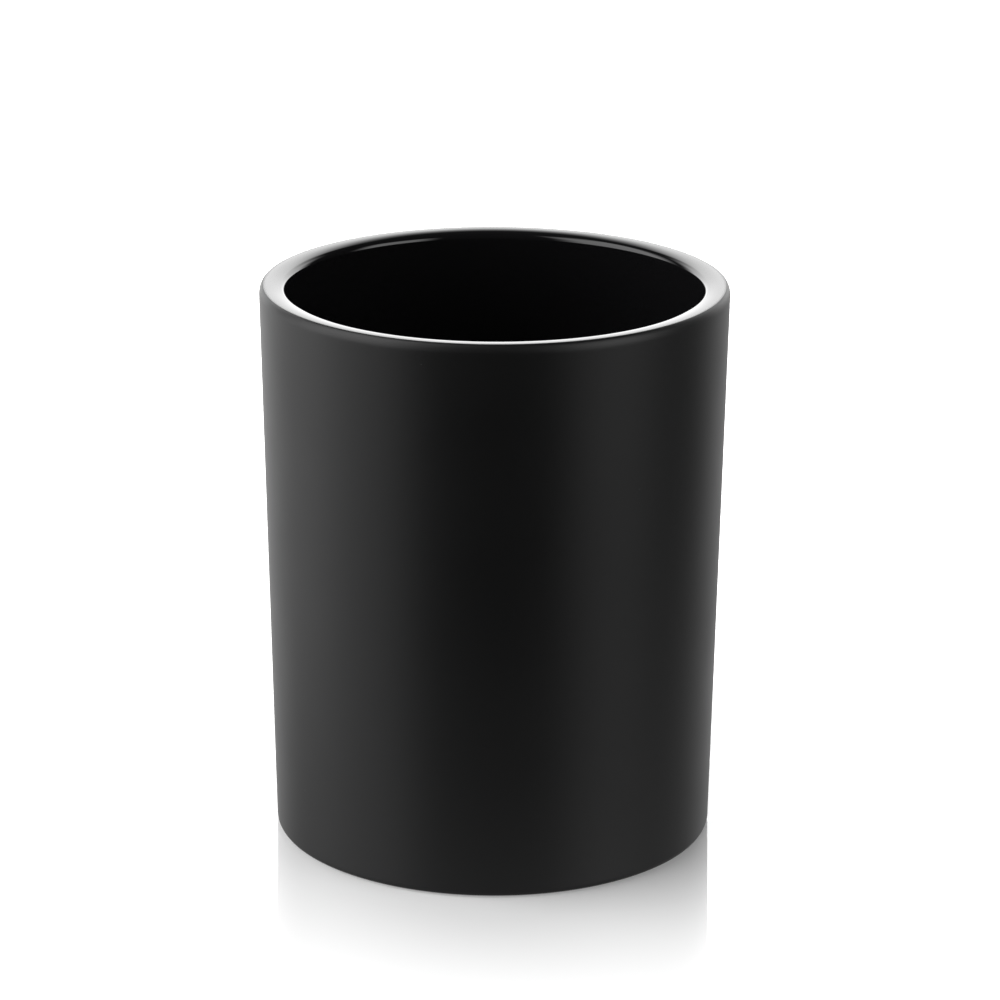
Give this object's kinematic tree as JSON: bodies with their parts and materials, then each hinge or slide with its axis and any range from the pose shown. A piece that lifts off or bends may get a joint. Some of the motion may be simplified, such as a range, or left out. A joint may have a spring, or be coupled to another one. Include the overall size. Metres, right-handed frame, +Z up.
{
  "type": "candle jar",
  "caption": "Empty round candle jar: thick tapered glass tumbler with a domed rim, matt black lacquer outside and gloss black inside.",
  "frame": {"origin": "centre of the base, in the plane of the bearing ring that the jar stands on", "axes": "+Z up along the jar's axis, towards the open mouth"},
  "size_m": [0.08, 0.08, 0.097],
  "materials": {
    "glass": "gloss, black-backed",
    "matt_lacquer": "matt sprayed lacquer"
  },
  "bodies": {
    "root": {"glass_body": "glass", "wall_lacquer": "matt_lacquer", "base_lacquer": "matt_lacquer"}
  },
  "joints": []
}
